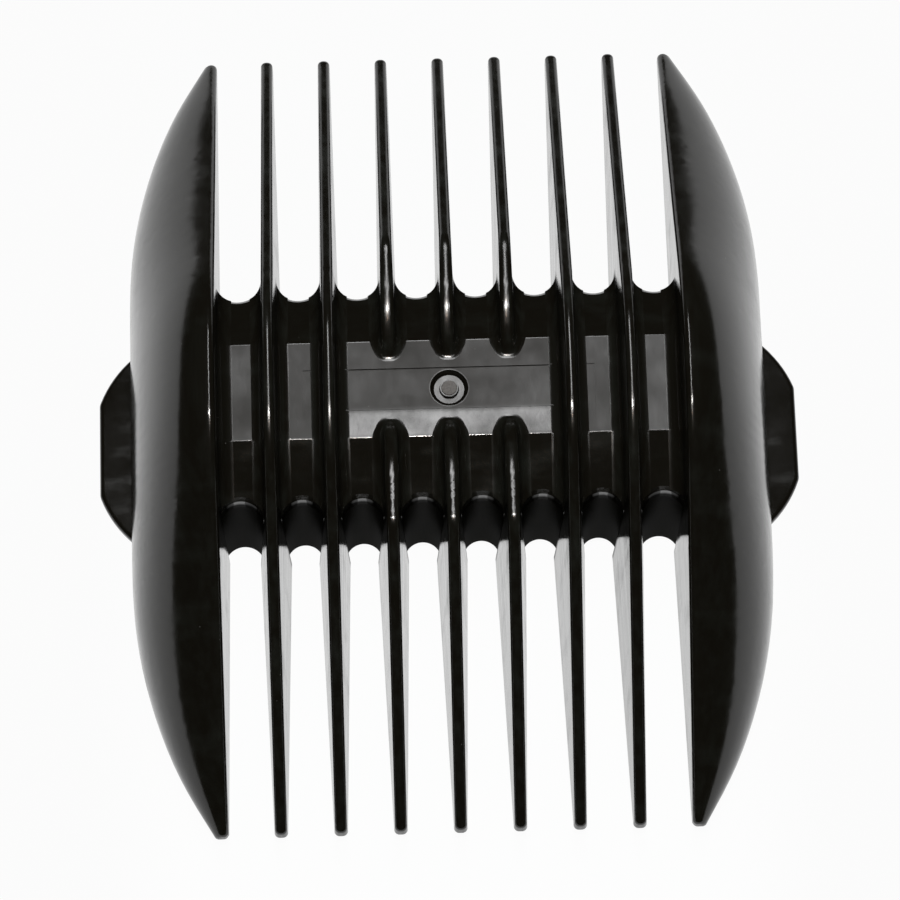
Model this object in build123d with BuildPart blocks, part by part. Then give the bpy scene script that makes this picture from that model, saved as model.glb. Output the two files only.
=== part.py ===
"""Reversible double-ended comb attachment for a hair clipper.

Millimetres.  +Z is the skin side, Y runs along the teeth, X across them.  The origin
lies on the plane the comb rests on, under its centre.  The real comb is one moulding;
it is built here as the regions a toolmaker would draw, which meet face to face.
"""
import os
from math import acos, asin, atan2, cos, hypot, pi, radians, sin, sqrt, tan

from build123d import *

os.makedirs("parts", exist_ok=True)

# ---------------------------------------------------------------- driving sizes
# teeth
pitch = 4.5                 # spacing of the ribs
half_length = 31.7          # centre line to the tip of a tooth
tip_level = 2.6             # middle of a tooth tip above the resting plane
tip_height = 1.0            # depth of a tooth at its tip
tip_round = 0.4             # plan rounding of the tips of teeth and guards
ridge_width = 0.9           # width of a tooth at its skin-side edge
ridge_round = 0.35          # rounding of that edge
side_draft = 1.35           # degrees, each flank of a tooth
foot_fillet = 0.9           # fillet between a rib and the deck

# ridge line, seen from the side
crown_height = 19.4         # highest point of the ribs
crown_radius = 15.0

# deck
deck_height = 13.1          # top of the flat plate
deck_flat = 3.84            # half length of the flat plate, along Y
apron_slope = 20.8          # degrees
deck_thickness = 1.4
bend_round = 0.3            # soft edge between plate and apron
slot_end = 8.3              # centre line to the rounded end of a slot, at the underside
slot_clear = 0.02           # the slot's side stands this far off the tooth's flank
slot_edge = 0.25            # chamfer on the rounded end of a slot
root_depth = 1.5            # wall left behind a slot end

# middle teeth, which stop short of the gate
nose_height = 15.3          # highest point of the long arc of their top line
nose_middle = 9.45          # centre line to that highest point
nose_radius = 13.0          # the long arc
toe_start = 4.0             # centre line to where a tighter arc takes over
toe_reach = 2.6             # centre line to its foot on the deck
shoulder_round = 3.0        # where the straight ridge runs into the arc

# gate and the shallow band around it
dish_radius = 1.52
dish_depth = 0.45
dish_taper = 40             # degrees
gate_radius = 0.75
gate_height = 0.3
gate_taper = 12             # degrees
band_half = 1.65
band_end = 11.0
band_depth = 0.08

# underside, on which the blade lies
seat_middle = 2.58          # height of the seat under the centre
seat_tilt = 8.3             # degrees; the front teeth are deeper and cut longer hair
seat_rib_width = 1.2
seat_rib_spacing = 9.0

# side guards
guard_inner = 17.45         # centre plane to the inner face of a guard
guard_outer = 24.5          # half width over the guards
guard_straight = 11.0       # half length of the straight side
guard_tip_width = 0.95      # the plan narrows to this in one arc
guard_rim = 2.1             # lower edge of the shell
guard_round = 0.45          # rounding of the guard's ridge
guard_wall = 1.4
guard_web = 1.2             # inner wall of the guard
guard_fillet = 1.1          # fillet between the guard and the deck
guard_crest = 2.0           # material above the hollow
guard_hollow = 21.0         # half length of the hollow

# latches
blade_width = 41.6          # width between the latch arms
arm_thickness = 1.2
arm_half_width = 5.2
arm_bottom = 0.25           # clear of the resting plane
arm_gap = 0.3               # clearance beside the arm
pivot_height = 9.5
knuckle_clearance = 0.06
frame_half_length = 14.0
tab_reach = 27.0            # half width over the grip tabs
tab_tip_half = 3.75
tab_base = 24.4             # centre plane to the wide end of the tab
tab_base_half = 7.6
tab_bulge_depth = 0.3
tab_corner = 1.0
tab_top = 1.35
tab_thickness = 1.0
tab_edge_round = 0.35
bead_radius = 0.6
bead_height = 1.3
bead_half_length = 3.0

# tolerances with which edges are picked
touching = 0.01
near = 0.1

# ---------------------------------------------------------------- derived places
draft = tan(radians(side_draft))
apron = tan(radians(apron_slope))
seat_slope = tan(radians(seat_tilt))
tip_top = tip_level + tip_height / 2
tip_bottom = tip_level - tip_height / 2
crown_centre = crown_height - crown_radius
tip_sight = atan2(tip_top - crown_centre, half_length)
tip_distance = hypot(half_length, tip_top - crown_centre)
flank_slope = pi / 2 - tip_sight - acos(crown_radius / tip_distance)
crown_end = crown_radius * sin(flank_slope)
shoulder_height = crown_centre + crown_radius * cos(flank_slope)
wall_inner = slot_end - root_depth
nose_centre = nose_height - nose_radius
toe_level = nose_centre + sqrt(nose_radius**2 - (nose_middle - toe_start) ** 2)
toe_slope = asin((nose_middle - toe_start) / nose_radius)
foot_slope = 2 * atan2(toe_level - deck_height, toe_start - toe_reach) - toe_slope
toe_radius = (toe_level - deck_height) / (cos(toe_slope) - cos(foot_slope))
toe_middle = toe_start + toe_radius * sin(toe_slope)
toe_centre = toe_level - toe_radius * cos(toe_slope)
nose_beside = ((half_length - nose_middle) * sin(flank_slope)
               - (nose_centre - tip_top) * cos(flank_slope))
nose_along = ((half_length - nose_middle) * cos(flank_slope)
              + (nose_centre - tip_top) * sin(flank_slope))
shoulder_run = nose_along + sqrt(nose_radius**2 - nose_beside**2)
shoulder_place = half_length - shoulder_run * cos(flank_slope)
bow_drop = guard_outer - guard_inner - guard_tip_width
bow_radius = ((half_length - guard_straight) ** 2 + bow_drop**2) / (2 * bow_drop)
web_outer = guard_inner + guard_web
blade_half = blade_width / 2
arm_outer = blade_half + arm_thickness
arm_axis = blade_half + arm_thickness / 2


def ridge_height(y):
    """Height of the skin-side edge: a round crown with straight flanks to the tips."""
    if abs(y) < crown_end:
        return crown_centre + sqrt(crown_radius**2 - y**2)
    return tip_top + (half_length - abs(y)) * tan(flank_slope)


def ridge_line():
    """Draw the skin-side edge from the front tip to the rear tip."""
    Line((-half_length, tip_top), (-crown_end, shoulder_height))
    ThreePointArc((-crown_end, shoulder_height), (0, crown_height), (crown_end, shoulder_height))
    Line((crown_end, shoulder_height), (half_length, tip_top))


# the webs between the slots are as wide as the teeth that spring from them
web_half = ridge_width / 2 + draft * ridge_height(slot_end + pitch / 3) + slot_clear
slot_radius = pitch / 2 - web_half
root_line = slot_end + slot_radius


def seat(y):
    """Height of the blade seat at a place along the comb."""
    return seat_middle + seat_slope * y


def deck_top(y):
    """Height of the deck at a place along the comb."""
    return deck_height - max(0, abs(y) - deck_flat) * apron


def deck_line(lower=0.0, reach=root_line):
    """Draw the top line of the deck from front to rear, lowered if asked."""
    ends = deck_top(reach) - lower
    FilletPolyline((-reach, ends), (-deck_flat, deck_height - lower),
                   (deck_flat, deck_height - lower), (reach, ends), radius=bend_round)


def deck_outline():
    """Draw the side view of the deck."""
    deck_line()
    deck_line(deck_thickness)
    top = deck_top(root_line)
    for side in (-1, 1):
        Line((side * root_line, top), (side * root_line, top - deck_thickness))


def guard_half_width(y):
    """Half width over the guards at a place along the comb."""
    past = max(0, abs(y) - guard_straight)
    return guard_outer - bow_radius + sqrt(bow_radius**2 - past**2)


def on_deck(edge):
    """True for an edge that lies on top of the deck."""
    middle = edge @ 0.5
    return abs(middle.Y) < root_line - touching and abs(middle.Z - deck_top(middle.Y)) < near / 2


def mirrored(part):
    """The same piece on the other side of the comb."""
    with BuildPart() as other:
        mirror(part, about=Plane.YZ)
    return other.part


def save(part, name):
    """Label a finished piece and write it under its name."""
    part.label = name
    export_step(part, f"parts/{name}.step")


# ---------------------------------------------------------------- slots between the teeth
def slot_pair(left, right):
    """Cut shape of the two slots, front and rear, between two webs; it widens upwards."""
    radius = (right - left) / 2
    with BuildPart() as pair:
        with BuildSketch():
            for end in (-1, 1):
                with Locations(((left + right) / 2, end * (slot_end + radius + pitch))):
                    SlotCenterToCenter(2 * pitch, 2 * radius, rotation=90)
        extrude(amount=crown_height, taper=-side_draft)
    return pair.part


rib_places = [n * pitch for n in range(-3, 4)]
slot_edges = [(x + web_half, x + pitch - web_half) for x in rib_places[:-1]]
slot_edges.append((rib_places[-1] + web_half, guard_inner))
slot_edges.insert(0, (-guard_inner, rib_places[0] - web_half))
with BuildPart() as slots:
    for left_edge, right_edge in slot_edges:
        add(slot_pair(left_edge, right_edge))

# ---------------------------------------------------------------- deck
with BuildPart() as deck:
    with BuildSketch(Plane.YZ):
        with BuildLine():
            deck_outline()
        make_face()
    extrude(amount=guard_inner, both=True)
    add(slots.part, mode=Mode.SUBTRACT)
    chamfer(deck.edges().filter_by(on_deck).filter_by(GeomType.LINE, reverse=True), slot_edge)
    with BuildSketch(Plane.XY.offset(deck_height)):
        Rectangle(2 * band_end, 2 * band_half)
    extrude(amount=-band_depth, mode=Mode.SUBTRACT)
    with BuildSketch(Plane.XY.offset(deck_height)):
        Circle(dish_radius)
    extrude(amount=-dish_depth, taper=dish_taper, mode=Mode.SUBTRACT)
    floor = deck_height - dish_depth
    with BuildSketch(Plane.XY.offset(floor)):
        Circle(gate_radius)
    extrude(amount=gate_height, taper=gate_taper)
save(deck.part, "deck")

# ---------------------------------------------------------------- walls behind the slots
for wall_name, end in (("front_wall", -1), ("rear_wall", 1)):
    with BuildPart() as wall:
        with BuildSketch(Plane.YZ):
            with BuildLine():
                inner, outer = end * wall_inner, end * root_line
                Polyline((inner, seat(inner)), (outer, seat(outer)),
                         (outer, deck_top(outer) - deck_thickness),
                         (inner, deck_top(inner) - deck_thickness), close=True)
            make_face()
        extrude(amount=guard_inner, both=True)
        add(slots.part, mode=Mode.SUBTRACT)
    save(wall.part, wall_name)

# ---------------------------------------------------------------- ribs under the deck
with BuildPart() as seat_rib:
    with BuildSketch(Plane.YZ):
        with BuildLine():
            deck_line(deck_thickness, wall_inner)
            Polyline((-wall_inner, deck_top(wall_inner) - deck_thickness),
                     (-wall_inner, seat(-wall_inner)), (wall_inner, seat(wall_inner)),
                     (wall_inner, deck_top(wall_inner) - deck_thickness))
        make_face()
    extrude(amount=seat_rib_width / 2, both=True)
for rib_name, place in (("left_seat_rib", -1), ("centre_seat_rib", 0), ("right_seat_rib", 1)):
    save(Pos(place * seat_rib_spacing, 0, 0) * seat_rib.part, rib_name)


# ---------------------------------------------------------------- comb ribs and teeth
def rib_outline(centre, level):
    """Draw the plan of a rib at one height; its flanks draw in as they rise."""
    tip = ridge_width / 2 + draft * (tip_top - level)
    wide = ridge_width / 2 + draft * (shoulder_height - level)
    Polyline(
        (centre - tip, -half_length), (centre + tip, -half_length),
        (centre + wide, -crown_end), (centre + wide, crown_end),
        (centre + tip, half_length), (centre - tip, half_length),
        (centre - wide, crown_end), (centre - wide, -crown_end),
        close=True,
    )


def tooth_underside(end):
    """Draw the lower line of the teeth at one end, from the tip to the deck."""
    Polyline((end * half_length, tip_top), (end * half_length, tip_bottom),
             (end * root_line, seat(end * root_line)), (end * root_line, deck_top(root_line)))


def full_profile():
    """Draw the side view of a rib that runs over the deck from tip to tip."""
    ridge_line()
    tooth_underside(-1)
    tooth_underside(1)
    deck_line()


def short_profile(end):
    """Draw the side view of a middle tooth, whose top falls in a long arc towards the gate."""
    foot = (end * toe_reach, deck_height)
    toe = (end * toe_start, toe_level)
    shoulder = (end * shoulder_place, ridge_height(shoulder_place))
    Line((end * half_length, tip_top), shoulder)
    RadiusArc(shoulder, toe, -end * nose_radius)
    TangentArc(toe, foot, tangent=(-end * cos(toe_slope), -sin(toe_slope)))
    tooth_underside(end)
    FilletPolyline(foot, (end * deck_flat, deck_height), (end * root_line, deck_top(root_line)),
                   radius=bend_round)


def short_height(y):
    """Height of the skin-side edge of a middle tooth, before its shoulder is rounded."""
    if abs(y) > shoulder_place:
        return ridge_height(y)
    if abs(y) > toe_start:
        return nose_centre + sqrt(nose_radius**2 - (nose_middle - abs(y)) ** 2)
    return toe_centre + sqrt(toe_radius**2 - (toe_middle - abs(y)) ** 2)


def comb_rib(centre, end=0):
    """A rib over the deck, or with end -1 or 1 a tooth that stops short of the gate."""
    crest_height = short_height if end else ridge_height

    def is_foot(edge):
        return on_deck(edge) and abs((edge @ 0.5).X - centre) < 2 * web_half

    def is_crest(edge):
        middle = edge @ 0.5
        return abs(middle.Z - crest_height(middle.Y)) < near and abs((edge % 0.5).Y) > 0.3

    with BuildPart() as rib:
        for level in (0, crown_height):
            with BuildSketch(Plane.XY.offset(level)):
                with BuildLine():
                    rib_outline(centre, level)
                make_face()
        loft(ruled=True)
        with BuildSketch(Plane.YZ.offset(centre)) as profile:
            with BuildLine():
                if end:
                    short_profile(end)
                else:
                    full_profile()
            make_face()
            if end:
                shoulder = (end * shoulder_place, ridge_height(shoulder_place))
                fillet(profile.vertices().sort_by_distance(shoulder)[0], shoulder_round)
        extrude(amount=pitch / 2, both=True, mode=Mode.INTERSECT)
        corners = rib.edges().filter_by(lambda e: abs(abs((e @ 0.5).Y) - half_length) < touching)
        fillet(corners.filter_by(lambda e: abs((e % 0.5).Z) > 0.9), tip_round)
        fillet(rib.edges().filter_by(is_crest), ridge_round)
        with BuildSketch(Plane.YZ.offset(centre)) as slab:
            with BuildLine():
                deck_outline()
            make_face()
        extrude(amount=pitch / 2, both=True)
        fillet(rib.edges().filter_by(is_foot), foot_fillet)
        extrude(slab.sketch, amount=pitch / 2, both=True, mode=Mode.SUBTRACT)
        add(slots.part, mode=Mode.SUBTRACT)
    return rib.part


for rib_name, n in (("inner_rib", 2), ("outer_rib", 3)):
    rib_part = comb_rib(n * pitch)
    save(rib_part, f"right_{rib_name}")
    save(mirrored(rib_part), f"left_{rib_name}")
for end_name, end in (("front", -1), ("rear", 1)):
    tooth_part = comb_rib(pitch, end)
    for n, side_name in ((0, "right"), (-1, "centre"), (-2, "left")):
        save(Pos(n * pitch, 0, 0) * tooth_part, f"{end_name}_{side_name}_tooth")


# ---------------------------------------------------------------- side guards
def shell(stations, inner, wall=0.0, crest=0.0):
    """The outer form of a guard, or with a wall and a crest the hollow inside it.

    Each section is a quarter ellipse from the ridge down to the rim.
    """
    with BuildPart() as form:
        for y in stations:
            top = ridge_height(y) - crest
            outer = guard_half_width(y) - wall
            with BuildSketch(Plane.XZ.offset(-y)):
                with BuildLine():
                    Polyline((inner, top), (inner, 0), (outer, 0), (outer, guard_rim))
                    EllipticalCenterArc((inner, guard_rim), outer - inner, top - guard_rim,
                                        arc_size=90)
                make_face()
        loft()
    return form.part


bow_stations = [guard_straight + (half_length - guard_straight) * n / 5 for n in range(1, 6)]
side_stations = [0, crown_end / 2, crown_end, guard_straight] + bow_stations
guard_stations = [-y for y in reversed(side_stations[1:])] + side_stations
hollow_stations = [guard_hollow * n / 6 for n in range(-6, 7)]

with BuildPart() as hollow:
    add(shell(hollow_stations, web_outer, guard_wall, guard_crest))

# the fillet that joins the guard to the deck
with BuildPart() as guard_foot:
    with BuildSketch(Plane.YZ.offset(guard_inner)) as slab:
        with BuildLine():
            deck_outline()
        make_face()
    extrude(amount=-pitch / 2)
    with BuildSketch(Plane.YZ.offset(guard_inner)) as web:
        Rectangle(2 * root_line, crown_height, align=(Align.CENTER, Align.MIN))
    extrude(amount=guard_web)
    corner = guard_foot.edges().filter_by(lambda e: abs((e @ 0.5).X - guard_inner) < touching)
    fillet(corner.filter_by(on_deck), guard_fillet)
    extrude(slab.sketch, amount=-pitch / 2, mode=Mode.SUBTRACT)
    extrude(web.sketch, amount=guard_web, mode=Mode.SUBTRACT)
    add(slots.part, mode=Mode.SUBTRACT)

with BuildPart() as right_guard:
    add(shell(guard_stations, guard_inner))
    inner_edges = right_guard.edges().filter_by(lambda e: abs((e @ 0.5).X - guard_inner) < touching)
    fillet(inner_edges.sort_by(Axis.Z)[-1], guard_round)
    ends = right_guard.edges().filter_by(lambda e: abs(abs((e @ 0.5).Y) - half_length) < touching)
    fillet(ends.filter_by(lambda e: abs((e % 0.5).Z) > 0.9), tip_round)
    add(hollow.part, mode=Mode.SUBTRACT)
    with BuildSketch(Plane.XY):
        with Locations((web_outer, 0)):
            Rectangle(guard_outer, 2 * half_length, align=(Align.MIN, Align.CENTER))
    extrude(amount=guard_rim, mode=Mode.SUBTRACT)
    with BuildSketch(Plane.YZ.offset(guard_inner)):
        with BuildLine():
            Polyline((-half_length, 0), (-half_length, tip_bottom), (-root_line, seat(-root_line)),
                     (root_line, seat(root_line)), (half_length, tip_bottom), (half_length, 0),
                     close=True)
        make_face()
    extrude(amount=guard_web, mode=Mode.SUBTRACT)
    add(guard_foot.part)
save(right_guard.part, "right_guard")
save(mirrored(right_guard.part), "left_guard")

# ---------------------------------------------------------------- side frames and latches
with BuildPart() as right_side_frame:
    with BuildSketch(Plane.YZ.offset(blade_half)):
        Rectangle(2 * frame_half_length, crown_height, align=(Align.CENTER, Align.MIN))
        Rectangle(2 * (arm_half_width + arm_gap), pivot_height, align=(Align.CENTER, Align.MIN),
                  mode=Mode.SUBTRACT)
    extrude(amount=arm_thickness)
    with BuildSketch(Plane.XZ):
        with Locations((arm_axis, pivot_height)):
            Circle(arm_thickness / 2 + knuckle_clearance)
    extrude(amount=arm_half_width + arm_gap, both=True, mode=Mode.SUBTRACT)
    add(hollow.part, mode=Mode.INTERSECT)
save(right_side_frame.part, "right_side_frame")
save(mirrored(right_side_frame.part), "left_side_frame")

with BuildPart() as right_latch_arm:
    with BuildSketch(Plane.XZ):
        with BuildLine():
            Polyline((blade_half, pivot_height), (blade_half, arm_bottom), (arm_outer, arm_bottom),
                     (arm_outer, pivot_height))
            knuckle_top = (arm_axis, pivot_height + arm_thickness / 2)
            ThreePointArc((arm_outer, pivot_height), knuckle_top, (blade_half, pivot_height))
        make_face()
    extrude(amount=arm_half_width, both=True)
save(right_latch_arm.part, "right_latch_arm")
save(mirrored(right_latch_arm.part), "left_latch_arm")

with BuildPart() as right_grip_tab:
    with BuildSketch(Plane.XY.offset(tab_top - tab_thickness)) as tab:
        with BuildLine():
            inner = arm_outer + arm_gap
            Polyline((tab_base, -tab_base_half), (inner, -tab_base_half), (inner, -arm_half_width),
                     (arm_outer, -arm_half_width), (arm_outer, arm_half_width),
                     (inner, arm_half_width), (inner, tab_base_half), (tab_base, tab_base_half))
            SagittaArc((tab_base, tab_base_half), (tab_reach, tab_tip_half), tab_bulge_depth)
            Line((tab_reach, tab_tip_half), (tab_reach, -tab_tip_half))
            SagittaArc((tab_reach, -tab_tip_half), (tab_base, -tab_base_half), tab_bulge_depth)
        make_face()
        fillet(tab.vertices().group_by(Axis.X)[-1], tab_corner)
    extrude(amount=tab_thickness)
    rim = right_grip_tab.edges().filter_by(lambda e: (e @ 0.5).X > tab_base)
    fillet(rim.filter_by(Plane.XY), tab_edge_round)
save(right_grip_tab.part, "right_grip_tab")
save(mirrored(right_grip_tab.part), "left_grip_tab")

with BuildPart() as right_catch_bead:
    with BuildSketch(Plane.XZ):
        with BuildLine():
            low, high = bead_height - bead_radius, bead_height + bead_radius
            Line((blade_half, low), (blade_half, high))
            ThreePointArc((blade_half, low), (blade_half - bead_radius, bead_height), (blade_half, high))
        make_face()
    extrude(amount=bead_half_length, both=True)
save(right_catch_bead.part, "right_catch_bead")
save(mirrored(right_catch_bead.part), "left_catch_bead")
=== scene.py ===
"""Looks of a reversible double-ended comb attachment, dressed on its CAD frame.

Every length is in metres.  X runs across the teeth, Y along them and Z up to the skin
side, as in the CAD model.
"""
import bisect
import math

import bmesh
import bpy
from mathutils import Matrix, Vector
from mathutils.bvhtree import BVHTree
from mathutils.noise import noise as noise_value


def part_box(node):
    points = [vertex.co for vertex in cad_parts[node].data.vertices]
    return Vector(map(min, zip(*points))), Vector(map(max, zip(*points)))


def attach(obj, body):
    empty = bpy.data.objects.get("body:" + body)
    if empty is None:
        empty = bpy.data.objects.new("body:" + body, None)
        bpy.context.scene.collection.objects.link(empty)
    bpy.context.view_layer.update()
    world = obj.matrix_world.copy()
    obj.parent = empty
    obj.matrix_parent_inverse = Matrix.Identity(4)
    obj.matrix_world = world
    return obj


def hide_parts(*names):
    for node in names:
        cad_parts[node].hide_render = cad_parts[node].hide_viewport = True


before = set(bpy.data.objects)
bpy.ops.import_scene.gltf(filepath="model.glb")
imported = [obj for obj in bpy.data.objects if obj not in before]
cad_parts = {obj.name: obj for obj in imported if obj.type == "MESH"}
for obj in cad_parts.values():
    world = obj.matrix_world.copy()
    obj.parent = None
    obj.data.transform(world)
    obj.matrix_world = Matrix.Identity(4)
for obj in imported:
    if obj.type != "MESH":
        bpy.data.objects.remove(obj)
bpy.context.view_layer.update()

bl_info = {
    "name": "Comb Attachment",
    "version": (1, 0, 0),
    "blender": (4, 5, 0),
    "location": "3D View > Sidebar > Comb",
    "description": "Dresses a moulded comb attachment and lights it",
    "category": "Add Mesh",
}

MM = 0.001
WELD = 1e-6                     # points of a CAD mesh this close are one

# nodes of the CAD frame
COMB = "comb"
TEETH = [f"{end}_{side}_tooth" for end in ("front", "rear") for side in ("left", "centre", "right")]
RIBS = [f"{side}_{place}_rib" for side in ("left", "right") for place in ("outer", "inner")]
SEAT_RIBS = [f"{side}_seat_rib" for side in ("left", "centre", "right")]


def centre(node):
    """Middle of a CAD node's box."""
    low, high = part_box(node)
    return (low + high) / 2


def measured_pitch():
    """Spacing of the ribs, from the two on the right."""
    return (centre("right_outer_rib") - centre("right_inner_rib")).x


# ---------------------------------------------------------------- settings
class CombSizes(bpy.types.PropertyGroup):
    """Sizes of the comb's own small forms; the main ones come from the CAD frame."""

    pitch: bpy.props.FloatProperty(
        name="Pitch", description="Spacing of the ribs", default=measured_pitch(), unit="LENGTH")
    rib_count: bpy.props.IntProperty(
        name="Ribs", description="Number of ribs between the guards", default=7, min=3)
    gate_teeth: bpy.props.IntProperty(
        name="Short teeth", description="Ribs in the middle that stop short of the gate",
        default=3, min=1)
    crease: bpy.props.FloatProperty(
        name="Crease", description="Edges that turn more than this stay sharp",
        default=math.radians(32), subtype="ANGLE")
    scar_radius: bpy.props.FloatProperty(
        name="Gate scar", description="Radius of the torn top of the gate",
        default=0.62 * MM, unit="LENGTH")
    scar_height: bpy.props.FloatProperty(
        name="Scar height", description="How far the torn top stands up",
        default=0.09 * MM, unit="LENGTH")
    line_width: bpy.props.FloatProperty(
        name="Witness line", description="Width of the raised lines beside the gate",
        default=0.10 * MM, unit="LENGTH")
    line_place: bpy.props.FloatProperty(
        name="Line place", description="From the gate to the raised lines",
        default=1.65 * MM, unit="LENGTH")
    front_flare: bpy.props.FloatProperty(
        name="Front flare", description="Added draft of the free front ends",
        default=math.radians(1.5), subtype="ANGLE")
    free_start: bpy.props.FloatProperty(
        name="Free from", description="From the middle to where the teeth stand free",
        default=8.3 * MM, unit="LENGTH")
    free_blend: bpy.props.FloatProperty(
        name="Flare length", description="Length over which the added draft grows",
        default=1.2 * MM, unit="LENGTH")
    pin_radius: bpy.props.FloatProperty(
        name="Ejector mark", description="Radius of the ejector marks under the deck",
        default=1.25 * MM, unit="LENGTH")
    pin_count: bpy.props.IntProperty(
        name="Ejector marks", description="Number of ejector marks", default=4, min=1)
    pin_spacing: bpy.props.FloatProperty(
        name="Ejector spacing", description="Spacing of the ejector marks",
        default=9 * MM, unit="LENGTH")
    pin_depth: bpy.props.FloatProperty(
        name="Ejector depth", description="How far an ejector mark stands out",
        default=0.06 * MM, unit="LENGTH")


class PlasticLook(bpy.types.PropertyGroup):
    """Finish of the moulded plastic."""

    colour: bpy.props.FloatVectorProperty(
        name="Colour", description="Body of the plastic", default=(0.0080, 0.0072, 0.0052),
        size=3, subtype="COLOR", min=0, max=1)
    bloom: bpy.props.FloatVectorProperty(
        name="Bloom", description="Tint of handling marks and flow lines",
        default=(0.024, 0.028, 0.024), size=3, subtype="COLOR", min=0, max=1)
    roughness: bpy.props.FloatProperty(
        name="Roughness", description="Roughness of a polished face", default=0.15,
        min=0, max=1, subtype="FACTOR")
    mould_roughness: bpy.props.FloatProperty(
        name="Inner roughness", description="Roughness where the tool was not polished",
        default=0.38, min=0, max=1, subtype="FACTOR")
    dust: bpy.props.FloatProperty(
        name="Dust", description="How thick the specks of dust lie", default=0.35,
        min=0, max=1, subtype="FACTOR")


class StudioLook(bpy.types.PropertyGroup):
    """Floor, lights and camera."""

    floor_cover: bpy.props.FloatProperty(
        name="Floor whiteness", description="Share of plain white over the floor's own colour",
        default=0.965, min=0, max=1, subtype="FACTOR")
    gloss_cover: bpy.props.FloatProperty(
        name="Whiteness in gloss", description="The same share as it shows in reflections",
        default=0.965, min=0, max=1, subtype="FACTOR")
    # painted light and shade: the floor's colour by place steers the comb's reflections
    painted_front_light: bpy.props.FloatVectorProperty(
        name="Floor in front", description="Colour of the floor in front of the comb",
        default=(0.70, 0.80, 0.80), size=3, subtype="COLOR", min=0, max=1)
    painted_side_shade: bpy.props.FloatVectorProperty(
        name="Floor beside", description="Colour of the floor beside the comb",
        default=(0.11, 0.12, 0.10), size=3, subtype="COLOR", min=0, max=1)
    painted_rear_shade: bpy.props.FloatVectorProperty(
        name="Floor behind", description="Colour of the floor behind the comb",
        default=(0.20, 0.24, 0.24), size=3, subtype="COLOR", min=0, max=1)
    panel_power: bpy.props.FloatProperty(
        name="Panel", description="Power of the soft panel overhead", default=0.7,
        unit="POWER")
    core_power: bpy.props.FloatProperty(
        name="Panel core", description="Power of the bright middle of the panel",
        default=0.55, unit="POWER")
    lamp_power: bpy.props.FloatProperty(
        name="Lamp", description="Power of the small lamp in front", default=0.5,
        unit="POWER")
    focal_length: bpy.props.FloatProperty(
        name="Lens", description="Focal length of the camera in millimetres", default=208.3)


# ---------------------------------------------------------------- node trees
class Socket:
    """An output of a node tree; Python's operators on it add Math nodes."""

    def __init__(self, nodes, socket):
        self.nodes = nodes
        self.socket = socket

    def _math(self, operation, first, second):
        return self.nodes.add("ShaderNodeMath", {"operation": operation}, {0: first, 1: second})

    def __add__(self, other):
        return self._math("ADD", self, other)

    def __radd__(self, other):
        return self._math("ADD", other, self)

    def __sub__(self, other):
        return self._math("SUBTRACT", self, other)

    def __rsub__(self, other):
        return self._math("SUBTRACT", other, self)

    def __mul__(self, other):
        return self._math("MULTIPLY", self, other)

    def __rmul__(self, other):
        return self._math("MULTIPLY", other, self)

    def __truediv__(self, other):
        return self._math("DIVIDE", self, other)

    def __pow__(self, other):
        return self._math("POWER", self, other)


class Nodes:
    """A node tree under construction; every node comes from add()."""

    def __init__(self, tree):
        self.tree = tree

    def add(self, kind, settings=None, inputs=None, output=0):
        """Add a node, with its settings first, then the values or links of its sockets."""
        node = self.tree.nodes.new(kind)
        for name, value in (settings or {}).items():
            if name == "stops":
                self._set_stops(node.color_ramp, value)
            else:
                setattr(node, name, value)
        for key, value in (inputs or {}).items():
            if isinstance(value, Socket):
                self.tree.links.new(value.socket, node.inputs[key])
            else:
                node.inputs[key].default_value = value
        return Socket(self, node.outputs[output]) if node.outputs else None

    @staticmethod
    def _set_stops(ramp, stops):
        while len(ramp.elements) < len(stops):
            ramp.elements.new(1)
        for element, (place, level) in zip(ramp.elements, stops):
            element.position = place
            element.color = (level, level, level, 1)


def shader_nodes(holder):
    """Empty the node tree of a material or world and return it for building."""
    holder.use_nodes = True
    holder.node_tree.nodes.clear()
    return Nodes(holder.node_tree)


# ---------------------------------------------------------------- materials
def noise(nodes, place, stretch, scale, detail=2.0, rough=0.5):
    """Noise on object coordinates, stretched along the axes whose factor is small."""
    moved = nodes.add("ShaderNodeMapping", {}, {"Vector": place, "Scale": stretch})
    return nodes.add("ShaderNodeTexNoise", {},
                     {"Vector": moved, "Scale": scale, "Detail": detail, "Roughness": rough})


def within(nodes, coordinate, half, soft):
    """1 where a coordinate lies between -half and half, with a soft edge."""
    away = nodes.add("ShaderNodeMath", {"operation": "ABSOLUTE"}, {0: coordinate})
    return nodes.add("ShaderNodeMapRange", {"interpolation_type": "SMOOTHSTEP"},
                     {"Value": away, "From Min": half - soft, "From Max": half + soft,
                      "To Min": 1.0, "To Max": 0.0})


def split(nodes, vector):
    """The X, Y and Z of a vector."""
    axes = nodes.add("ShaderNodeSeparateXYZ", {}, {0: vector}).socket.node
    return [Socket(nodes, output) for output in axes.outputs]


def plate_haze(nodes, place, flow):
    """Roughness that drifts over the flat plate, less in a band in front of the gate and its dish."""
    x, y, _ = split(nodes, place)
    drift = noise(nodes, place, (0.4, 1, 1), scale=260, detail=1.0)
    band = within(nodes, y + 2.8 * MM, half=1.1 * MM, soft=0.4 * MM)
    clear = within(nodes, x, half=8 * MM, soft=0.6 * MM) * band
    flat = within(nodes, y, half=3.8 * MM, soft=0.04 * MM)
    from_gate = ((x * x) + (y * y)) ** 0.5
    dish = within(nodes, from_gate, half=1.5 * MM, soft=0.05 * MM)
    return flat * (drift * 0.45 + flow * 0.2 - clear * 0.28 - dish * 0.24)


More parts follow.
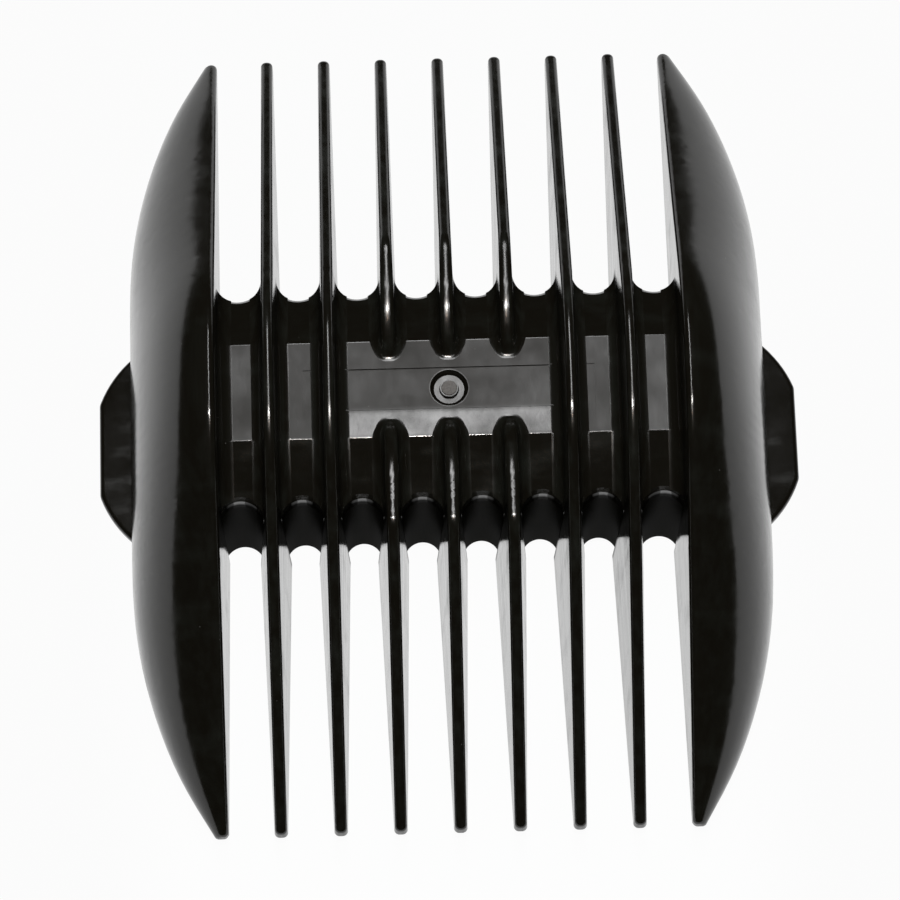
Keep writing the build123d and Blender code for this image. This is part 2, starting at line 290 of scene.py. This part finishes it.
def painted_deck_shade(nodes, place, shader, colour, top):
    """The shader, nearly matte under the height top and near the middle of the comb: painted shade
    under the deck.
    """
    _, y, z = split(nodes, place)
    under = nodes.add("ShaderNodeMapRange", {"interpolation_type": "SMOOTHSTEP"},
                      {"Value": z, "From Min": top - 0.5 * MM, "From Max": top,
                       "To Min": 1.0, "To Max": 0.0})
    between_slots = within(nodes, y, half=9.9 * MM, soft=0.3 * MM)
    # painted shade: a matte diffuse of the body colour in place of the gloss
    dull = nodes.add("ShaderNodeBsdfDiffuse", {}, {"Color": colour})
    return nodes.add("ShaderNodeMixShader", {},
                     {0: under * between_slots * 0.92, 1: shader, 2: dull})


def plastic(name, look, roughness, stretch, streaks, waves, mottle=0.0, painted_shade_below=0.0):
    """Moulded near-black plastic.

    stretch says which way the tool marks run, streaks how strong they are, waves how
    far the polished face is from flat, and mottle adds the flow marks near a gate and
    the clearer band in front of it.  Under the height of the last argument, and near the
    middle, the gloss gives way mostly to a matte diffuse of the body colour: painted
    shade under the deck.
    """
    material = bpy.data.materials.new(name)
    nodes = shader_nodes(material)
    place = nodes.add("ShaderNodeTexCoord", output="Object")
    even = (1, 1, 1)
    broad = noise(nodes, place, even, scale=330)
    lines = noise(nodes, place, stretch, scale=1500, detail=3.0, rough=0.6)
    grain = noise(nodes, place, even, scale=9000)
    flow = noise(nodes, place, (1, 0.6, 1), scale=950, detail=4.0, rough=0.62)
    smear = noise(nodes, place, (0.35, 1, 0.35), scale=420, detail=3.0, rough=0.55)
    smears = nodes.add("ShaderNodeValToRGB", {"stops": [(0.52, 0), (0.74, 1)]}, {0: smear})
    specks = nodes.add("ShaderNodeTexVoronoi", {}, {"Vector": place, "Scale": 1100})
    thinned = noise(nodes, place, even, scale=260, detail=1.0)
    dust = nodes.add("ShaderNodeValToRGB", {"stops": [(0.03, 1), (0.05, 0)]}, {0: specks})
    dust_here = nodes.add("ShaderNodeValToRGB", {"stops": [(0.60, 0), (0.66, 1)]}, {0: thinned})
    dusty = dust * dust_here * look.dust
    tint = (lines - 0.42) * (2 * streaks) + smears * 0.25 + (flow - 0.5) * mottle
    tint = nodes.add("ShaderNodeClamp", {}, {0: tint})
    body = nodes.add("ShaderNodeMix", {"data_type": "RGBA"},
                     {0: tint, 6: (*look.colour, 1), 7: (*look.bloom, 1)}, output=2)
    pale = (0.35, 0.35, 0.34, 1)
    colour = nodes.add("ShaderNodeMix", {"data_type": "RGBA"}, {0: dusty, 6: body, 7: pale},
                       output=2)
    sheen = (roughness + (broad - 0.5) * 0.06 + (lines - 0.5) * (0.3 * streaks)
             + smears * 0.07 + (flow - 0.5) * (0.25 * mottle) + dusty * 0.4)
    height = broad * waves + lines * (0.08 * streaks) + grain * 0.006 + flow * (0.9 * mottle)
    bump = nodes.add("ShaderNodeBump", {}, {"Height": height, "Distance": 0.05 * MM,
                                            "Strength": 1.0})
    if mottle:
        sheen = sheen + plate_haze(nodes, place, flow)
    shader = nodes.add("ShaderNodeBsdfPrincipled", {},
                       {"Base Color": colour, "Roughness": sheen, "Normal": bump, "IOR": 1.5})
    # painted shade under the deck, where the gloss gives way to a matte diffuse
    if painted_shade_below:
        shader = painted_deck_shade(nodes, place, shader, body, painted_shade_below)
    nodes.add("ShaderNodeOutputMaterial", {}, {"Surface": shader})
    return material


def torn_plastic(look):
    """The whitened, rough break on top of the gate."""
    material = bpy.data.materials.new("torn gate")
    nodes = shader_nodes(material)
    place = nodes.add("ShaderNodeTexCoord", output="Object")
    tear = noise(nodes, place, (1, 1, 1), scale=5200, detail=4.0, rough=0.7)
    whitened = (0.30, 0.29, 0.28, 1)
    colour = nodes.add("ShaderNodeMix", {"data_type": "RGBA"},
                       {0: tear, 6: (*look.colour, 1), 7: whitened}, output=2)
    bump = nodes.add("ShaderNodeBump", {}, {"Height": tear, "Distance": 0.06 * MM})
    shader = nodes.add("ShaderNodeBsdfPrincipled", {},
                       {"Base Color": colour, "Roughness": 0.3 + tear * 0.4, "Normal": bump})
    nodes.add("ShaderNodeOutputMaterial", {}, {"Surface": shader})
    return material


def finish(name):
    """The material of this name, made on first use."""
    known = bpy.data.materials.get(name)
    if known:
        return known
    look = bpy.context.scene.comb_plastic
    if name == "torn gate":
        return torn_plastic(look)
    along = (1, 0.03, 1)
    across = (0.3, 1, 1)
    upright = (1, 1, 0.04)
    # the last entry of ribs, plate and inner faces is the height under which they get painted shade
    recipes = {
        "rib plastic": {"roughness": look.roughness, "stretch": along, "streaks": 0.55,
                        "waves": 0.12, "painted_shade_below": 11.6 * MM},
        "plate plastic": {"roughness": 0.08, "stretch": across, "streaks": 0.1,
                          "waves": 0.12, "mottle": 0.2, "painted_shade_below": 11 * MM},
        "guard plastic": {"roughness": look.roughness, "stretch": along, "streaks": 0.3,
                          "waves": 0.2},
        "inner plastic": {"roughness": look.mould_roughness, "stretch": upright, "streaks": 0.5,
                          "waves": 0.3, "painted_shade_below": 11.6 * MM},
        "latch plastic": {"roughness": 0.07, "stretch": upright, "streaks": 0.1,
                          "waves": 0.05},
    }
    return plastic(name, look, **recipes[name])


# ---------------------------------------------------------------- meshes
def new_piece(name, mesh, finish_name):
    """An object at the origin that holds the mesh and its finish."""
    piece = bpy.data.objects.new(name, mesh)
    bpy.context.scene.collection.objects.link(piece)
    mesh.materials.clear()
    mesh.materials.append(finish(finish_name))
    return piece


def mark_creases(shape, limit):
    """Shade faces smooth, and keep the edges that turn more than the limit sharp."""
    for face in shape.faces:
        face.smooth = True
    for edge in shape.edges:
        edge.smooth = len(edge.link_faces) == 2 and edge.calc_face_angle(0) < limit


def welded_mesh(nodes, name, shift=Vector()):
    """One mesh from copies of CAD nodes, their loose triangles joined and moved by shift."""
    whole = bmesh.new()
    for node in nodes:
        whole.from_mesh(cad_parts[node].data)
    bmesh.ops.remove_doubles(whole, verts=whole.verts, dist=WELD)
    bmesh.ops.dissolve_degenerate(whole, edges=whole.edges, dist=WELD / 10)
    bmesh.ops.translate(whole, verts=whole.verts, vec=shift)
    mark_creases(whole, bpy.context.scene.comb_sizes.crease)
    mesh = bpy.data.meshes.new(name)
    whole.to_mesh(mesh)
    whole.free()
    return mesh


def level_normals(piece):
    """Let wide faces lead the shading, so that flat ones stay flat beside their fillets."""
    modifier = piece.modifiers.new("level", "WEIGHTED_NORMAL")
    modifier.mode = "FACE_AREA"
    modifier.keep_sharp = True


def settle(piece):
    """Turn a piece's modifiers into plain mesh and take them off."""
    evaluated = piece.evaluated_get(bpy.context.evaluated_depsgraph_get())
    mesh = bpy.data.meshes.new_from_object(evaluated)
    piece.modifiers.clear()
    piece.data = mesh


def dressed_copy(nodes, name, body, finish_name):
    """A smooth piece that stands for CAD nodes of one body."""
    piece = new_piece(name, welded_mesh(nodes, name), finish_name)
    level_normals(piece)
    settle(piece)
    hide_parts(*nodes)
    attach(piece, body)
    return piece


def ridge_line(mesh):
    """Points (y, z) of the highest edge along a rib or guard, sorted by y."""
    step = 0.25 * MM
    tops = {}
    for vertex in mesh.vertices:
        key = round(vertex.co.y / step)
        tops[key] = max(tops.get(key, 0), vertex.co.z)
    return sorted((key * step, top) for key, top in tops.items())


def cut_across(mesh, places):
    """Split a mesh along planes across Y, so that it can bend there."""
    shape = bmesh.new()
    shape.from_mesh(mesh)
    for place in places:
        geometry = [*shape.verts, *shape.edges, *shape.faces]
        bmesh.ops.bisect_plane(shape, geom=geometry, dist=WELD, plane_co=(0, place, 0),
                               plane_no=(0, 1, 0))
    shape.to_mesh(mesh)
    shape.free()


def bend_places(sizes):
    """Where the front ends are split: close together while the added draft grows."""
    shares = (0, 0.25, 0.5, 0.75, 1, 2, 4)
    return [-sizes.free_start - sizes.free_blend * share for share in shares]


def soften_rims(mesh, near, far, lowest, radius):
    """Round the upper edges of the slot ends: above lowest, from near to far along Y."""
    shape = bmesh.new()
    shape.from_mesh(mesh)
    wall, top = 0.4, 0.8            # upward share of the normals of a slot wall and of the top
    rims = []
    for edge in shape.edges:
        middle = (edge.verts[0].co + edge.verts[1].co) / 2
        if len(edge.link_faces) != 2 or not near < abs(middle.y) < far or middle.z < lowest:
            continue
        slopes = sorted(abs(face.normal.z) for face in edge.link_faces)
        if edge.is_convex and slopes[0] < wall and slopes[1] > top:
            rims.append(edge)
    bmesh.ops.bevel(shape, geom=rims, offset=radius, segments=3, profile=0.5,
                    affect="EDGES", clamp_overlap=True)
    mark_creases(shape, bpy.context.scene.comb_sizes.crease)
    shape.to_mesh(mesh)
    shape.free()


def flare_ends(mesh, sizes, middle, movable):
    """Widen the foot of the front ends, away from x = middle and by the depth below the ridge."""
    ridge = ridge_line(mesh)
    places = [y for y, _ in ridge]
    for index in movable:
        point = mesh.vertices[index].co
        beyond = min(max((-point.y - sizes.free_start) / sizes.free_blend, 0), 1)
        after = min(bisect.bisect(places, point.y), len(ridge) - 1)
        (y0, z0), (y1, z1) = ridge[after - 1], ridge[after]
        top = z0 + (z1 - z0) * (point.y - y0) / (y1 - y0)
        reach = max(top - point.z, 0) * math.tan(sizes.front_flare) * beyond
        point.x += math.copysign(min(reach, abs(point.x - middle)), point.x - middle)


def inner_face(mesh, side):
    """Indices of the vertices on a guard's inner face; side is -1 on the left."""
    nearly_square = -0.95           # the share of the normal that points back to the middle
    found = set()
    for face in mesh.polygons:
        if face.normal.x * side < nearly_square:
            found.update(face.vertices)
    return found


# ---------------------------------------------------------------- geometry node trees
def new_geometry_tree(name, inputs):
    """A geometry tree with named inputs; returns it, its nodes and its group input."""
    tree = bpy.data.node_groups.new(name, "GeometryNodeTree")
    for label, kind in inputs:
        tree.interface.new_socket(label, in_out="INPUT", socket_type=kind)
    tree.interface.new_socket("Geometry", in_out="OUTPUT", socket_type="NodeSocketGeometry")
    nodes = Nodes(tree)
    source = tree.nodes.new("NodeGroupInput")
    return tree, nodes, lambda label: Socket(nodes, source.outputs[label])


def use_tree(piece, tree, values):
    """Put the tree on a piece and set its inputs by the sockets' identifiers."""
    modifier = piece.modifiers.new(tree.name, "NODES")
    modifier.node_group = tree
    for item in tree.interface.items_tree:
        if item.in_out == "INPUT" and item.name in values:
            modifier[item.identifier] = values[item.name]


def row_of_points(nodes, count, step):
    """Points in a row along X, centred on the origin."""
    first = (count - 1) * step * -0.5
    start = nodes.add("ShaderNodeCombineXYZ", {}, {0: first})
    offset = nodes.add("ShaderNodeCombineXYZ", {}, {0: step})
    return nodes.add("GeometryNodeMeshLine", {"mode": "OFFSET"},
                     {"Count": count, "Start Location": start, "Offset": offset})


def copies_on(nodes, points, pattern, selection=True):
    """Instances of a pattern object on the selected points."""
    shape = nodes.add("GeometryNodeObjectInfo", {}, {"Object": pattern}, output="Geometry")
    return nodes.add("GeometryNodeInstanceOnPoints", {},
                     {"Points": points, "Instance": shape, "Selection": selection})


def end_tree(nodes, instances, material):
    """Realise the instances, give them their material and close the tree."""
    real = nodes.add("GeometryNodeRealizeInstances", {}, {0: instances})
    dressed = nodes.add("GeometryNodeSetMaterial", {}, {"Geometry": real, "Material": material})
    nodes.add("NodeGroupOutput", {}, {0: dressed})


def rib_row_tree():
    """The whole row of ribs: short teeth in the middle, full ribs on both sides."""
    tree, nodes, given = new_geometry_tree("rib_row", [
        ("Rib", "NodeSocketObject"), ("Front tooth", "NodeSocketObject"),
        ("Rear tooth", "NodeSocketObject"), ("Ribs", "NodeSocketInt"),
        ("Pitch", "NodeSocketFloat"), ("Short teeth", "NodeSocketInt"),
        ("Plastic", "NodeSocketMaterial")])
    points = row_of_points(nodes, given("Ribs"), given("Pitch"))
    index = nodes.add("GeometryNodeInputIndex")
    steps = nodes.add("ShaderNodeMath", {"operation": "ABSOLUTE"},
                      {0: index - (given("Ribs") - 1) / 2})
    short = nodes.add("FunctionNodeCompare", {"data_type": "FLOAT", "operation": "LESS_THAN"},
                      {0: steps, 1: given("Short teeth") / 2})
    full = nodes.add("FunctionNodeBooleanMath", {"operation": "NOT"}, {0: short})
    joined = tree.nodes.new("GeometryNodeJoinGeometry")
    for pattern, selection in (("Rib", full), ("Front tooth", short), ("Rear tooth", short)):
        row = copies_on(nodes, points, given(pattern), selection)
        tree.links.new(row.socket, joined.inputs[0])
    end_tree(nodes, Socket(nodes, joined.outputs[0]), given("Plastic"))
    return tree


def mark_row_tree():
    """A row of ejector marks."""
    tree, nodes, given = new_geometry_tree("mark row", [
        ("Mark", "NodeSocketObject"), ("Marks", "NodeSocketInt"),
        ("Spacing", "NodeSocketFloat"), ("Height", "NodeSocketFloat"),
        ("Plastic", "NodeSocketMaterial")])
    level = nodes.add("ShaderNodeCombineXYZ", {}, {2: given("Height")})
    points = nodes.add("GeometryNodeSetPosition", {}, {
        "Geometry": row_of_points(nodes, given("Marks"), given("Spacing")), "Offset": level})
    end_tree(nodes, copies_on(nodes, points, given("Mark")), given("Plastic"))
    return tree


def drop(objects):
    """Delete objects that were only patterns for a tree to repeat."""
    for thing in objects:
        bpy.data.objects.remove(thing)


def deck_level(x, y, start, heading):
    """Height at which a ray from the start height meets the deck; heading is 1 up, -1 down."""
    shape = bmesh.new()
    shape.from_mesh(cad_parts["deck"].data)
    tree = BVHTree.FromBMesh(shape)
    shape.free()
    place, _, _, _ = tree.ray_cast(Vector((x, y, start)), Vector((0, 0, heading)))
    return place.z


def small_disc(name, radius, height, level, finish_name, tear=0.0):
    """A low round boss that is sunk a little into the face at this level.

    tear is how uneven its top is, as a share of the height.
    """
    shape = bmesh.new()
    sunk = height / 2
    bmesh.ops.create_cone(shape, cap_ends=True, segments=40, radius1=radius, radius2=radius * 0.9,
                          depth=height + sunk)
    top = [face for face in shape.faces if face.normal.z > 0.9]
    for _ in range(2):
        bmesh.ops.inset_region(shape, faces=top, thickness=radius * 0.25)
    bmesh.ops.translate(shape, verts=shape.verts, vec=(0, 0, level + (height - sunk) / 2))
    lumps = 2.2 / radius            # how closely the tear's lumps lie
    for vertex in shape.verts:
        if vertex.co.z > level:
            vertex.co.z += height * tear * noise_value(vertex.co * lumps)
    mark_creases(shape, bpy.context.scene.comb_sizes.crease)
    mesh = bpy.data.meshes.new(name)
    shape.to_mesh(mesh)
    shape.free()
    return new_piece(name, mesh, finish_name)


def witness_line(name, y, sizes):
    """A fine raised line across the plate where two tool inserts met."""
    gap = 1 * MM                    # from the line's end to the middle of the next rib
    half = sizes.pitch * (sizes.gate_teeth + 1) / 2 - gap
    level = deck_level(half / 2, y, start=1, heading=-1)
    width, height = sizes.line_width / 2, sizes.line_width / 3
    corners = ((-width, -height), (width, -height), (width / 2, height), (-width / 2, height))
    shape = bmesh.new()
    first, last = ([shape.verts.new((x, y + dy, level + dz)) for dy, dz in corners]
                   for x in (-half, half))
    shape.faces.new(list(reversed(first)))
    shape.faces.new(last)
    for index in range(len(corners)):
        after = (index + 1) % len(corners)
        shape.faces.new((first[index], first[after], last[after], last[index]))
    bmesh.ops.recalc_face_normals(shape, faces=shape.faces)
    mesh = bpy.data.meshes.new(name)
    shape.to_mesh(mesh)
    shape.free()
    return new_piece(name, mesh, "plate plastic")


# ---------------------------------------------------------------- pieces
class COMB_OT_ribs(bpy.types.Operator):
    """Lay out the row of ribs and short teeth."""

    bl_idname = "comb.ribs"
    bl_label = "Ribs"

    def execute(self, context):
        sizes = context.scene.comb_sizes
        sources = {"Rib": "right_inner_rib", "Front tooth": "front_centre_tooth",
                   "Rear tooth": "rear_centre_tooth"}
        patterns = {}
        for label, node in sources.items():
            mesh = welded_mesh([node], label, Vector((-centre(node).x, 0, 0)))
            cut_across(mesh, bend_places(sizes))
            flare_ends(mesh, sizes, 0, range(len(mesh.vertices)))
            patterns[label] = new_piece(label, mesh, "rib plastic")
        row = new_piece("rib_row", bpy.data.meshes.new("rib_row"), "rib plastic")
        values = dict(patterns)
        values.update({"Ribs": sizes.rib_count, "Pitch": sizes.pitch,
                       "Short teeth": sizes.gate_teeth, "Plastic": finish("rib plastic")})
        use_tree(row, rib_row_tree(), values)
        level_normals(row)
        settle(row)
        drop(patterns.values())
        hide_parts(*RIBS, *TEETH)
        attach(row, COMB)
        return {"FINISHED"}


class COMB_OT_guards(bpy.types.Operator):
    """Shape the two side guards."""

    bl_idname = "comb.guards"
    bl_label = "Side guards"

    def execute(self, context):
        sizes = context.scene.comb_sizes
        for name, side in (("left", -1), ("right", 1)):
            shell = dressed_copy([f"{name}_guard"], f"{name}_guard_shell", COMB, "guard plastic")
            cut_across(shell.data, bend_places(sizes))
            low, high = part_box(f"{name}_guard")
            outside = high.x if side > 0 else low.x
            flare_ends(shell.data, sizes, outside, inner_face(shell.data, side))
        return {"FINISHED"}


class COMB_OT_deck(bpy.types.Operator):
    """Shape the deck with its gate and witness lines."""

    bl_idname = "comb.deck"
    bl_label = "Deck"

    def execute(self, context):
        sizes = context.scene.comb_sizes
        deck = dressed_copy(["deck"], "slotted_deck", COMB, "plate plastic")
        soften_rims(deck.data, near=7.5 * MM, far=10.5 * MM, lowest=11 * MM, radius=0.13 * MM)
        scar = small_disc("gate_scar", sizes.scar_radius, sizes.scar_height,
                          deck_level(0, 0, start=1, heading=-1), "torn gate", tear=0.45)
        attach(scar, COMB)
        for name, side in (("front_line", -1), ("rear_line", 1)):
            line = witness_line(name, side * sizes.line_place, sizes)
            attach(line, COMB)
        return {"FINISHED"}


class COMB_OT_underside(bpy.types.Operator):
    """Shape the walls and ribs under the deck."""

    bl_idname = "comb.underside"
    bl_label = "Underside"

    def execute(self, context):
        dressed_copy(["front_wall", "rear_wall"], "slot_walls", COMB, "inner plastic")
        dressed_copy(SEAT_RIBS, "seat_rib_set", COMB, "inner plastic")
        dressed_copy(["left_side_frame", "right_side_frame"], "side_frames", COMB,
                     "inner plastic")
        sizes = context.scene.comb_sizes
        mark = small_disc("mark", sizes.pin_radius, sizes.pin_depth, 0, "inner plastic")
        row = new_piece("ejector_marks", bpy.data.meshes.new("ejector_marks"), "inner plastic")
        use_tree(row, mark_row_tree(), {
            "Mark": mark, "Marks": sizes.pin_count, "Spacing": sizes.pin_spacing,
            "Height": deck_level(3 * MM, 0, start=0, heading=1),
            "Plastic": finish("inner plastic")})
        settle(row)
        drop([mark])
        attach(row, COMB)
        return {"FINISHED"}


class COMB_OT_latches(bpy.types.Operator):
    """Shape the spring latches with their grip tabs."""

    bl_idname = "comb.latches"
    bl_label = "Latches"

    def execute(self, context):
        for side in ("left", "right"):
            body = f"{side}_latch"
            dressed_copy([f"{side}_latch_arm", f"{side}_catch_bead"], f"{side}_arm", body,
                         "inner plastic")
            dressed_copy([f"{side}_grip_tab"], f"{side}_tab", body, "latch plastic")
        return {"FINISHED"}


# ---------------------------------------------------------------- stage
def leaning(angle):
    """Unit vector that leans from straight up towards +Y by the angle in degrees."""
    return Vector((0, math.sin(math.radians(angle)), math.cos(math.radians(angle))))


def area_light(name, lean, distance, width, depth, power, colour=(1, 1, 1), aside=0.0):
    """An area light that faces the comb and leans back by so many degrees, moved aside along X."""
    direction = leaning(lean)
    light = bpy.data.lights.new(name, "AREA")
    light.shape = "RECTANGLE"
    light.size = width
    light.size_y = depth
    light.energy = power
    light.color = colour
    lamp = bpy.data.objects.new(name, light)
    bpy.context.scene.collection.objects.link(lamp)
    lamp.location = direction * distance + Vector((aside, 0, 0))
    lamp.rotation_mode = "QUATERNION"
    lamp.rotation_quaternion = direction.to_track_quat("Z", "Y")


def floor_material(studio):
    """White to the eye and in gloss, apart from a faint share of its own colour and of shadow.

    Its colour is painted pale in front of the comb, grey behind it and dark on both sides:
    painted light and shade for what the comb reflects and the light bounced onto it.
    """
    material = bpy.data.materials.new("floor")
    nodes = shader_nodes(material)
    seen = nodes.add("ShaderNodeLightPath", output="Is Camera Ray")
    mirrored = nodes.add("ShaderNodeLightPath", output="Is Glossy Ray")
    refracted = nodes.add("ShaderNodeLightPath", output="Is Transmission Ray")
    x, y, _ = split(nodes, nodes.add("ShaderNodeTexCoord", output="Object"))
    # painted light in front of the comb, painted shade behind it and on both sides
    behind = nodes.add("ShaderNodeMapRange", {"interpolation_type": "SMOOTHSTEP"},
                       {"Value": y, "From Min": -14 * MM, "From Max": 22 * MM})
    near = nodes.add("ShaderNodeMix", {"data_type": "RGBA"},
                     {0: behind, 6: (*studio.painted_front_light, 1), 7: (*studio.painted_rear_shade, 1)},
                     output=2)
    below = within(nodes, x, half=24 * MM, soft=5 * MM)
    tone = nodes.add("ShaderNodeMix", {"data_type": "RGBA"},
                     {0: below, 6: (*studio.painted_side_shade, 1), 7: near}, output=2)
    plain = nodes.add("ShaderNodeBsdfDiffuse", {}, {"Color": tone})
    glow = nodes.add("ShaderNodeEmission", {}, {"Color": (1, 1, 1, 1), "Strength": 1.0})
    cover = seen * studio.floor_cover + (mirrored + refracted) * studio.gloss_cover
    surface = nodes.add("ShaderNodeMixShader", {}, {0: cover, 1: plain, 2: glow})
    nodes.add("ShaderNodeOutputMaterial", {}, {"Surface": surface})
    return material


def lay_floor(studio, half):
    """A square floor at the comb's foot, which reaches this far each way."""
    mesh = bpy.data.meshes.new("floor")
    corners = [(-half, -half, 0), (half, -half, 0), (half, half, 0), (-half, half, 0)]
    mesh.from_pydata(corners, [], [(0, 1, 2, 3)])
    mesh.materials.append(floor_material(studio))
    floor = bpy.data.objects.new("floor", mesh)
    bpy.context.scene.collection.objects.link(floor)


def room():
    """A dim room, lighter towards the horizon and in front."""
    world = bpy.data.worlds.new("room")
    bpy.context.scene.world = world
    nodes = shader_nodes(world)
    _, back, up = split(nodes, nodes.add("ShaderNodeTexCoord", output="Generated"))
    level = (1 - up) ** 4 * (0.55 - back * 0.45)
    overhead, horizon = (0.012, 0.011, 0.009, 1), (0.07, 0.07, 0.054, 1)
    air = nodes.add("ShaderNodeMix", {"data_type": "RGBA"},
                    {0: level, 6: overhead, 7: horizon}, output=2)
    background = nodes.add("ShaderNodeBackground", {}, {"Color": air, "Strength": 1.0})
    nodes.add("ShaderNodeOutputWorld", {}, {"Surface": background})


def set_camera(focal_length):
    """A long lens in front of the comb and high above it."""
    lens = bpy.data.cameras.new("camera")
    lens.lens = focal_length
    lens.sensor_width = 36
    lens.clip_start = 10 * MM
    camera = bpy.data.objects.new("camera", lens)
    bpy.context.scene.collection.objects.link(camera)
    place = (-5.35 * MM, -138.61 * MM, 380.07 * MM)
    roll = Matrix.Rotation(math.radians(1.787), 3, "Z")
    pitch = Matrix.Rotation(math.radians(-20), 3, "X")
    yaw = Matrix.Rotation(math.radians(0.8226), 3, "Y")
    turn = (roll @ pitch @ yaw).transposed().to_4x4()
    camera.matrix_world = Matrix.Translation(place) @ turn
    bpy.context.scene.camera = camera


class COMB_OT_stage(bpy.types.Operator):
    """Set the floor, the lights and the camera."""

    bl_idname = "comb.stage"
    bl_label = "Stage"

    def execute(self, context):
        studio = context.scene.comb_studio
        lay_floor(studio, half=2.0)
        room()
        area_light("panel", lean=20, distance=0.6, width=0.094, depth=0.50,
                   power=studio.panel_power, aside=0.007)
        area_light("panel_core", lean=20, distance=0.595, width=0.05, depth=0.50,
                   power=studio.core_power, aside=0.005)
        area_light("lamp", lean=-9, distance=0.45, width=0.018, depth=0.018,
                   power=studio.lamp_power, colour=(1, 0.94, 0.88))
        area_light("strip", lean=-9, distance=0.45, width=0.24, depth=0.010,
                   power=studio.lamp_power / 2)
        area_light("second_lamp", lean=-15, distance=0.45, width=0.010, depth=0.010,
                   power=studio.lamp_power / 30, colour=(1, 0.62, 0.42))
        set_camera(studio.focal_length)
        context.scene.view_settings.view_transform = "Standard"
        return {"FINISHED"}


# ---------------------------------------------------------------- add-on
OPERATORS = (COMB_OT_ribs, COMB_OT_guards, COMB_OT_deck, COMB_OT_underside, COMB_OT_latches,
             COMB_OT_stage)
SETTINGS = (CombSizes, PlasticLook, StudioLook)


class COMB_PT_panel(bpy.types.Panel):
    """Lists the settings and the steps."""

    bl_idname = "COMB_PT_panel"
    bl_label = "Comb attachment"
    bl_space_type = "VIEW_3D"
    bl_region_type = "UI"
    bl_category = "Comb"

    def draw(self, context):
        layout = self.layout
        scene = context.scene
        for group in (scene.comb_sizes, scene.comb_plastic, scene.comb_studio):
            for name in group.__annotations__:
                layout.prop(group, name)
            layout.separator()
        for operator in OPERATORS:
            layout.operator(operator.bl_idname)


def register():
    for part in (*SETTINGS, *OPERATORS, COMB_PT_panel):
        bpy.utils.register_class(part)
    bpy.types.Scene.comb_sizes = bpy.props.PointerProperty(type=CombSizes)
    bpy.types.Scene.comb_plastic = bpy.props.PointerProperty(type=PlasticLook)
    bpy.types.Scene.comb_studio = bpy.props.PointerProperty(type=StudioLook)


def unregister():
    del bpy.types.Scene.comb_studio
    del bpy.types.Scene.comb_plastic
    del bpy.types.Scene.comb_sizes
    for part in reversed((*SETTINGS, *OPERATORS, COMB_PT_panel)):
        bpy.utils.unregister_class(part)


def main():
    register()
    bpy.ops.comb.stage()
    bpy.ops.comb.ribs()
    bpy.ops.comb.guards()
    bpy.ops.comb.deck()
    bpy.ops.comb.underside()
    bpy.ops.comb.latches()


if __name__ == "__main__":
    main()
